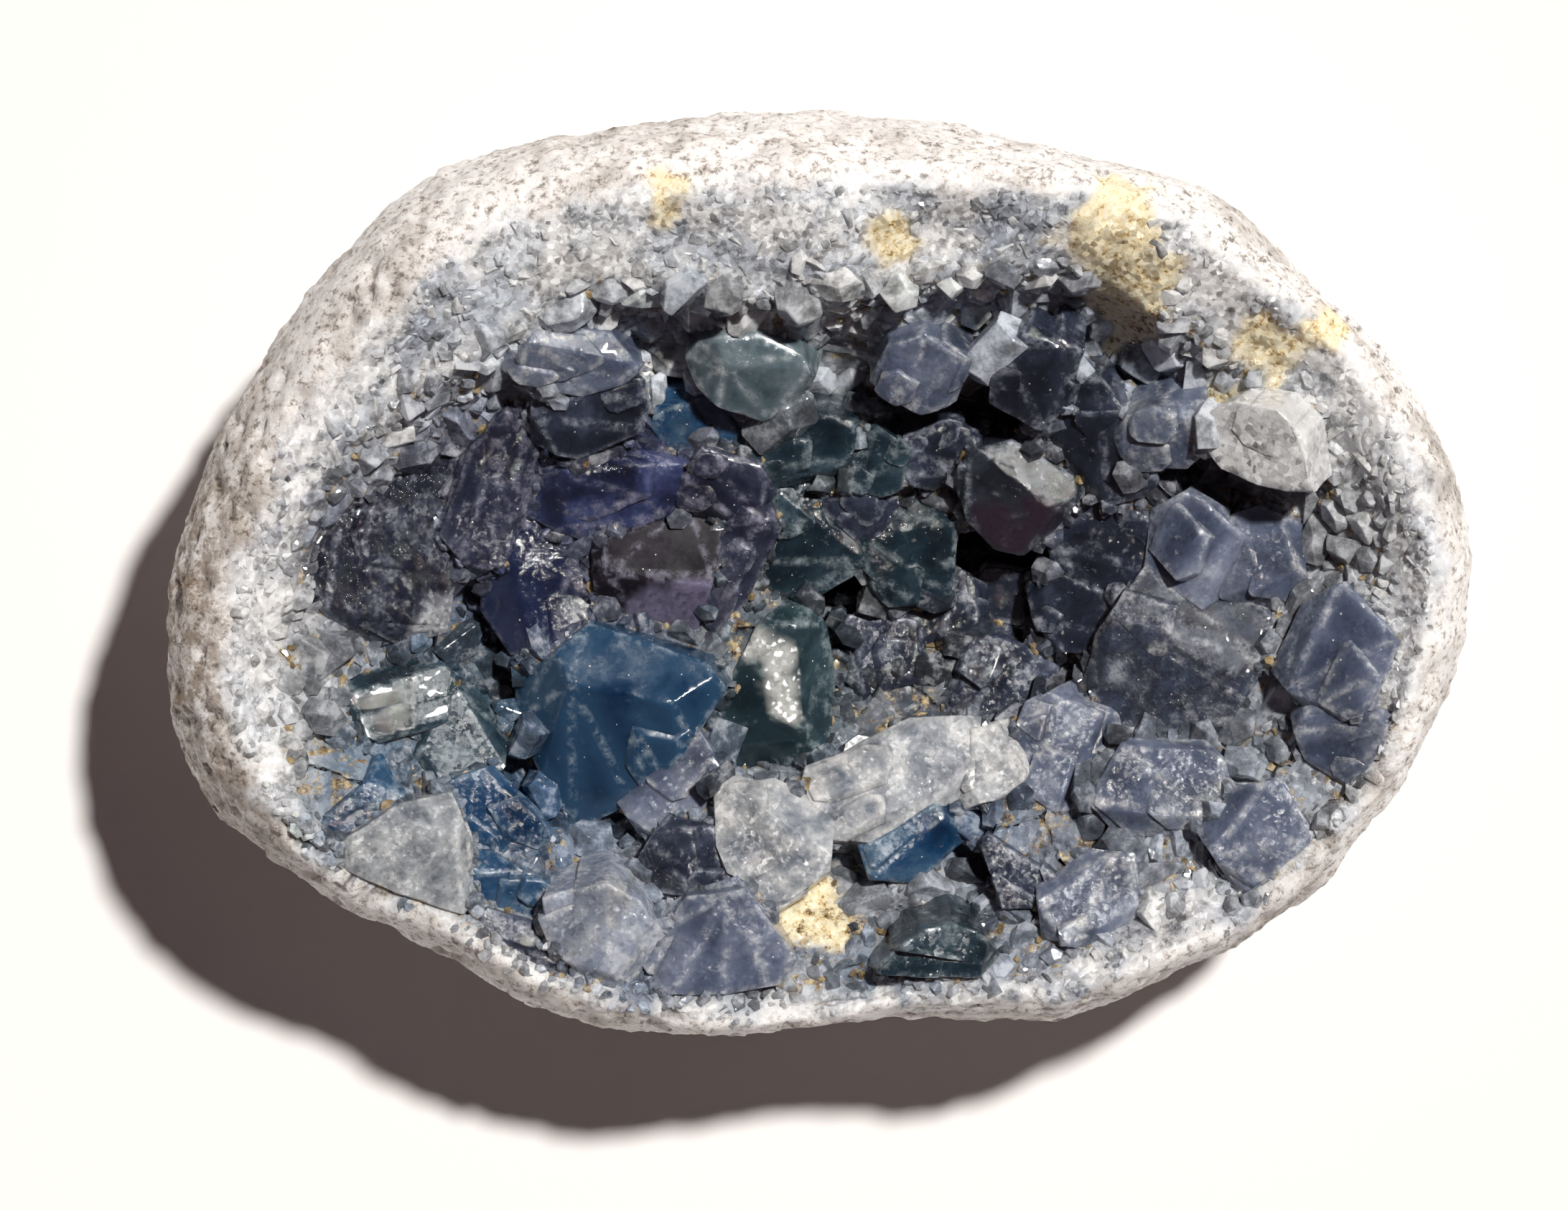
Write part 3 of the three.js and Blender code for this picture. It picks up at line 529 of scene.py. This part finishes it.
special = {  # how single crystals differ; spots are x, y and radius of a patch in the crystal's spot colour
    "giant_blue_wedge": {"deep": "03162f", "clear": "062647", "veil": "2c4f6e", "frost": "1f4566",
                         "cloudSize": 10, "edgeWidth": 3.4, "edgeShare": 0.9, "steps": 1,
                         "flecks": 0.12, "relief": 0.12, "glitter": 0.06, "milk": 0.25, "dustFrom": 0.75},
    "frosted_block": {"deep": "151927", "clear": "232839", "veil": "474d5e", "frost": "9a9eaa", "glitter": 0.9,
                      "cloudSize": 3.2, "relief": 0.9, "steps": 2, "spotGlitter": 1.0,
                      "spot": "b9bcc4", "spots": [(-30.5, -3, 1.5), (-30, 1, 0.8), (-30.6, 5, 0.8), (-33, -5, 1.6)]},
    "grey_block": {"clear": "353a48", "veil": "565c6c", "glitter": 0.35, "cloudSize": 4, "relief": 0.9, "steps": 1},
    "capped_column": {"deep": "13242b", "clear": "22363e", "veil": "3b525a", "cloudSize": 7, "steps": 0,
                      "flecks": 0.2, "relief": 0.25, "glitter": 0.1, "spotGlitter": 0.9, "spot": "d4d5d1", "dustFrom": 0.7, "spots": [(-5.2, -6.2, 1.3), (-3.6, -7.4, 1.5), (-3.2, -9.6, 1.4), (-3.0, -11.4, 1.2)]},
    "hanging_tablet": {"deep": "36474f", "clear": "52646c", "veil": "788890", "frost": "a9b3b7", "edge": "d5dadc",
                       "cloudSize": 5, "edgeWidth": 1.2, "edgeShare": 0.7, "steps": 1, "flecks": 0.2,
                       "relief": 0.25, "glitter": 0.1, "dustFrom": 0.7},
    "violet_block": {"deep": "151c38", "clear": "1e2948", "veil": "353f60", "cloudSize": 8, "steps": 1, "flecks": 0.15,
                     "relief": 0.3, "glitter": 0.12},
    "purple_prism": {"deep": "1b171d", "clear": "262129", "veil": "3b3540", "cloudSize": 5, "steps": 0,
                     "flecks": 0.05, "relief": 0.12, "glitter": 0.04, "roughness": 0.4, "gloss": 0, "ior": 1.15, "dustFrom": 0.85,
                     "spot": "77718a", "spots": [(-13.5, -4.5, 3.2), (-10.8, -2.5, 2.4), (-11.5, -6.5, 3)]},
    "indigo_slab": {"deep": "15182c", "clear": "232a48", "veil": "46507c", "frost": "6e749a", "steps": 1},
    "rose_prism": {"deep": "181a22", "clear": "262b34", "veil": "3d454e", "cloudSize": 5, "steps": 1, "glitter": 0.1,
                   "spot": "352a37", "spots": [(14.5, 4, 2.0), (18.5, 5, 1.8), (16.5, 3, 1.6)]},
    # silver_plate: a pale pearly cleavage with a painted highlight; its near-white colours stand in for the sun's
    # glare on its face
    "silver_plate": {"deep": "eeeeee", "clear": "fafafa", "veil": "ffffff", "frost": "ffffff", "glitter": 0.5,
                     "milk": 0.15, "gloss": 0.5, "roughness": 0.2, "flakeSize": 0.5, "cloudSize": 2.4, "steps": 1},
    "sugar_block": {"deep": "6d747d", "clear": "a9adb2", "veil": "c9cccf", "glitter": 0.6, "cloudSize": 3},
}
slotFinish = {slot: name for name, slot in slots.items()}
finishes = {name: celestine(name + "Celestine", look) for name, look in looks.items()}


def refine(bm, longest):  # halves every edge longer than this, until none is left
    for _ in range(7):
        edges = [e for e in bm.edges if e.calc_length() > longest * mm]
        if not edges:
            break
        bmesh.ops.subdivide_edges(bm, edges=edges, cuts=1)
        bmesh.ops.triangulate(bm, faces=[f for f in bm.faces if len(f.verts) > 3])


clearEdge = math.radians(46)  # a flatter edge than this is only a soft ridge


def growBody(source, put, whole, spots):  # adds one body with worn edges, and how far each point is from them
    bm = bmesh.new()
    bm.from_mesh(source)
    bmesh.ops.transform(bm, matrix=put, verts=bm.verts)
    sharp = np.array([[e.verts[0].co, e.verts[1].co] for e in bm.edges if e.calc_face_angle(1) > clearEdge])
    bmesh.ops.bevel(bm, geom=bm.edges, offset=0.1 * mm, offset_type="OFFSET", segments=1, profile=0.5,
                    affect="EDGES", material=-1, clamp_overlap=True)
    bmesh.ops.triangulate(bm, faces=bm.faces)
    refine(bm, 1.0)
    bm.normal_update()
    points = np.array([v.co for v in bm.verts])[:, None]
    starts, along = sharp[:, 0], sharp[:, 1] - sharp[:, 0]
    share = np.clip(((points - starts) * along).sum(2) / (along ** 2).sum(1), 0, 1)
    gaps = np.linalg.norm(points - starts - share[..., None] * along, axis=2).min(1) / mm
    layer = bm.verts.layers.float.new("edgeGap")
    spotLayer = bm.verts.layers.float.new("spot")
    for v, gap in zip(bm.verts, gaps):
        v[layer] = gap
        wobble = 0.8 * noise.noise(v.co / (1.6 * mm))
        v[spotLayer] = max([smoothStep(r + 0.5, r - 0.5, math.hypot(v.co.x / mm - x, v.co.y / mm - y) + wobble)
                            for x, y, r in spots] or [0])
        v.co += v.normal * ((0.14 * noise.noise(v.co / (2.8 * mm)) + 0.05 * noise.noise(v.co / (0.9 * mm))) * mm)
    part = bpy.data.meshes.new("part")
    bm.to_mesh(part)
    bm.free()
    whole.from_mesh(part)
    bpy.data.meshes.remove(part)


crystalSwell = 0.35  # closes the gap that each crystal's socket leaves


def chipCorners(bm, pick, chips):  # small cleavage breaks across some sharp corners
    for _ in range(chips):
        corners = [v for v in bm.verts if v.link_faces and min(v.normal.dot(f.normal) for f in v.link_faces) < 0.6]
        if not corners:
            break
        corner = pick.choice(corners)
        lean = Vector((pick.gauss(0, 1), pick.gauss(0, 1), pick.gauss(0, 1))) * 0.2
        facing = (corner.normal + lean).normalized()
        cut = bmesh.ops.bisect_plane(bm, geom=bm.verts[:] + bm.edges[:] + bm.faces[:], plane_no=facing,
                                     plane_co=corner.co - facing * (pick.uniform(0.2, 0.5) * mm), clear_outer=True)
        rims = [g for g in cut["geom_cut"] if isinstance(g, bmesh.types.BMEdge)]
        bmesh.ops.holes_fill(bm, edges=rims)
        bm.normal_update()
    bmesh.ops.remove_doubles(bm, verts=bm.verts, dist=0.05 * mm)
    bmesh.ops.recalc_face_normals(bm, faces=bm.faces)


def crystalMesh(name, steps, spots, seed):
    pick = random.Random(seed)
    bm = hulls[name]
    for v in bm.verts:
        v.co += v.normal * crystalSwell * mm
    chipCorners(bm, pick, 5)
    body = bpy.data.meshes.new("body")
    bm.to_mesh(body)
    whole = bmesh.new()
    growBody(body, Matrix.Identity(4), whole, spots)
    heads = sorted(bm.verts, key=lambda v: -v.co.z)[:max(6, len(bm.verts) // 2)]
    for _ in range(steps):  # parallel growth: smaller copies that share a corner, standing a little proud
        corner = pick.choice(heads)
        proud = corner.normal * pick.uniform(0.1, 0.35) * mm
        lean = Matrix.Rotation(math.radians(pick.gauss(0, 7)), 4, Vector((pick.gauss(0, 1), pick.gauss(0, 1), 0.5)))
        put = (Matrix.Translation(corner.co + proud) @ lean @ Matrix.Scale(pick.uniform(0.35, 0.7), 4)
               @ Matrix.Translation(-corner.co))
        growBody(body, put, whole, spots)
    mesh = bpy.data.meshes.new(name)
    whole.to_mesh(mesh)
    whole.free()
    mesh.shade_smooth()
    mesh.set_sharp_from_angle(angle=math.radians(15))
    return mesh


for seed, name in enumerate(crystalNames):
    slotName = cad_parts[name].data.materials[0].name
    own = special.get(name, {})
    look = {**looks[slotFinish[slotName]], **own}
    finish = celestine(name + "Celestine", look) if own else finishes[slotFinish[slotName]]
    mesh = crystalMesh(name, own.get("steps", 3), own.get("spots", []), seed)
    addPiece("crystal_" + name, mesh, finish, [name])
print("crystals cut", round(time.perf_counter() - started), "s")


# crust: the smaller crystals that fill the hollow and sugar the broken rim

def crustTemplate(seed, worn):  # a short six-sided prism with a chisel head
    pick = random.Random(seed)
    bm = bmesh.new()
    bmesh.ops.create_cone(bm, cap_ends=True, segments=6, radius1=0.5, radius2=0.46, depth=1.6)
    bmesh.ops.scale(bm, vec=(1, pick.uniform(0.78, 1.0), 1), verts=bm.verts)
    steep = [(90, 0.02), (-90, 0.02), (0, 0.12), (180, 0.12)]
    for turn, out in steep:
        tilt = math.radians(pick.uniform(28, 58))
        way = math.radians(turn + pick.uniform(-20, 20))
        facing = Vector((math.cos(way) * math.sin(tilt), math.sin(way) * math.sin(tilt), math.cos(tilt)))
        top = Vector((0, 0, 0.8)) + facing * (out - pick.uniform(0.0, 0.18))
        cut = bmesh.ops.bisect_plane(bm, geom=bm.verts[:] + bm.edges[:] + bm.faces[:],
                                     plane_co=top, plane_no=facing, clear_outer=True)
        bmesh.ops.holes_fill(bm, edges=[g for g in cut["geom_cut"] if isinstance(g, bmesh.types.BMEdge)])
    bmesh.ops.recalc_face_normals(bm, faces=bm.faces)
    if worn:
        bmesh.ops.bevel(bm, geom=bm.edges, offset=0.02, offset_type="OFFSET", segments=1, profile=0.5,
                        affect="EDGES", material=-1, clamp_overlap=True)
    bmesh.ops.translate(bm, vec=(0, 0, -0.15), verts=bm.verts)
    mesh = bpy.data.meshes.new(f"template{seed}")
    bm.verts.layers.float_color.new("tint")
    bm.to_mesh(mesh)
    bm.free()
    return mesh


wornTemplates = [crustTemplate(seed, True) for seed in range(10)]
plainTemplates = [crustTemplate(seed, False) for seed in range(10)]


def largestAt(index):  # the largest crystal that the crust holds at a vertex of the stone
    broken, hollow = zones["broken"][index], zones["hollow"][index]
    if broken < 0.3 or zones["ochre"][index] > 0.35 or (hollow < 0.5 and sugar[index] > 0.55):  # the whitest patches are fine sugar only
        return 0.0
    north = smoothStep(7, 12, stone.vertices[index].co.y / mm)  # the tall wall carries the widest ones
    return min(0.9 + 1.6 * (broken - 0.3) + (3.2 + 2.0 * north) * hollow, 0.8 + 0.45 * insides[index])


crust = {
    "sizes": [6.6, 5.2, 4.2, 3.4, 2.7, 2.1, 1.6, 1.2, 0.9],  # tried from the largest down
    "overlap": 0.33,  # closest spacing, as a share of the two widths together
    "tilt": 0.3,
    "tries": 2.2,
    "gold": "c9b083",  # iron-stained grains in the seams
    "goldShare": 0.25,
    "sink": 0.35,  # how deep a crystal on the rim is buried, as a share of its width
}
stone.calc_loop_triangles()
triangles = [(t.vertices[0], t.vertices[1], t.vertices[2], t.area / (mm * mm)) for t in stone.loop_triangles
             if zones["broken"][t.vertices[0]] > 0.3]
grown = {}  # crystals placed so far, by 3 mm cells
placed = []
pick = random.Random(7)
for size in crust["sizes"]:
    for a, b, c, area in triangles:
        if pick.random() > area * crust["tries"] / (size * size) or largestAt(a) < size * 0.9:
            continue
        u, w = sorted((pick.random(), pick.random()))
        first = stone.vertices[a]
        point = first.co * u + stone.vertices[b].co * (w - u) + stone.vertices[c].co * (1 - w)
        width = size * pick.uniform(0.85, 1.15)
        if nearestFace(point)[0] > -0.2 * width:
            continue
        cell = [int(x // cellSize) for x in point]
        near = [other for i in (-1, 0, 1) for j in (-1, 0, 1) for k in (-1, 0, 1)
                for other in grown.get((cell[0] + i, cell[1] + j, cell[2] + k), ())]
        if any((point - other).length < crust["overlap"] * (width + otherWidth) * mm for other, otherWidth in near):
            continue
        grown.setdefault(tuple(cell), []).append((point, width))
        placed.append((point, first.normal.copy(), width, zones["hollow"][a]))
print("crust crystals:", len(placed), round(time.perf_counter() - started), "s")


def growCrust(name, chosen, templates, material, seed):
    pick = random.Random(seed)
    bm = bmesh.new()
    goldTone = linear(crust["gold"])[:3]
    tones = growthTones(np.array([place[0] for place in chosen]) / mm)
    for (point, normal, width, hollowShare), tone in zip(chosen, tones):
        lean = Vector((pick.gauss(0, 1), pick.gauss(0, 1), pick.gauss(0, 1))) * crust["tilt"]
        axis = (normal + lean + Vector((0, 0, 0.3))).normalized()
        turn = axis.to_track_quat("Z", "Y").to_matrix().to_4x4() @ Matrix.Rotation(pick.uniform(0, math.tau), 4, "Z")
        stretch = Matrix.Diagonal((pick.uniform(0.9, 1.35), pick.uniform(0.8, 1.1), pick.uniform(0.65, 1.1), 1))
        root = point - normal * (crust["sink"] * (1 - 0.4 * hollowShare) * width * mm)
        put = Matrix.Translation(root) @ turn @ stretch @ Matrix.Scale(width * mm, 4)
        template = templates[pick.randrange(len(templates))]
        white = sugarShare(point, hollowShare) * pick.uniform(0.6, 1.1)
        colour = Vector(tone * (1 - white) + sugarTone * white) * math.exp(pick.gauss(-0.08, 0.32))
        colour *= 1.3 - 0.6 * hollowShare * smoothStep(15, 9, point.y / mm)  # clearer in the hollow
        if width < 1.15 and hollowShare > 0.6 and pick.random() < crust["goldShare"]:
            colour = Vector(goldTone) * pick.uniform(0.45, 1.1)
        colour = Vector([min(c, 0.9) for c in colour])
        template.attributes["tint"].data.foreach_set("color", [*colour, 1.0] * len(template.vertices))
        template.transform(put)
        bm.from_mesh(template)
        template.transform(put.inverted())
    mesh = bpy.data.meshes.new(name)
    bm.to_mesh(mesh)
    bm.free()
    print(name, len(chosen), "crystals,", len(mesh.polygons), "faces")
    return addPiece(name, mesh, material)


def crustFinish(name, roughness, glitter):  # small clear crystals, coloured by where they grow
    material = bpy.data.materials.new(name)
    material.use_nodes = True
    tree = material.node_tree
    shader = tree.nodes["Principled BSDF"]
    place = addNode(tree, "TexCoord").outputs["Object"]
    tint = addNode(tree, "Attribute", attribute_name="tint").outputs["Color"]
    cloud = addNode(tree, "TexNoise", {"Vector": place, "Scale": 1000 / 2.2, "Detail": 6, "Roughness": 0.7})
    shade = addNode(tree, "ValToRGB", {"Fac": cloud.outputs["Fac"]}, stops=[
        (0.36, "8c8c8c"), (0.47, "cacaca"), (0.58, "ffffff"),
    ])
    body = addNode(tree, "Mix", {0: 1.0, 6: tint, 7: shade.outputs["Color"]}, data_type="RGBA",
                   blend_type="MULTIPLY")
    veil = addNode(tree, "ValToRGB", {"Fac": cloud.outputs["Fac"]}, stops=[(0.52, "000000"), (0.66, "b4b4b4")])
    veiled = addNode(tree, "Mix", {0: veil.outputs["Color"], 6: body.outputs[2], 7: linear("dcdde0")},
                     data_type="RGBA")
    tree.links.new(veiled.outputs[2], shader.inputs["Base Color"])
    shader.inputs["Roughness"].default_value = roughness
    shader.inputs["IOR"].default_value = 1.62
    shader.inputs["Subsurface Weight"].default_value = 0.4
    shader.inputs["Subsurface Radius"].default_value = (0.95, 1.0, 1.1)
    shader.inputs["Subsurface Scale"].default_value = 1.2 * mm
    flakes = addNode(tree, "TexVoronoi", {"Vector": place, "Scale": 1000 / 0.4})
    normal = addNode(tree, "NewGeometry").outputs["Normal"]
    tilt = addNode(tree, "VectorMath", {0: flakes.outputs["Color"], 1: (0.5, 0.5, 0.5)}, operation="SUBTRACT")
    tipped = addNode(tree, "VectorMath", {0: tilt.outputs[0], 1: (glitter,) * 3, 2: normal}, operation="MULTIPLY_ADD")
    facing = addNode(tree, "VectorMath", {0: tipped.outputs[0]}, operation="NORMALIZE")
    tree.links.new(facing.outputs[0], shader.inputs["Normal"])
    shader.inputs["Coat Weight"].default_value = 0.3
    shader.inputs["Coat Roughness"].default_value = 0.04
    return material


growCrust("crust_hollow", [p for p in placed if p[2] > 1.9], wornTemplates, crustFinish("clearCrust", 0.08, 0.15), 3)
growCrust("crust_rim", [p for p in placed if p[2] <= 1.9], plainTemplates, crustFinish("sugarCrust", 0.12, 0.5), 4)
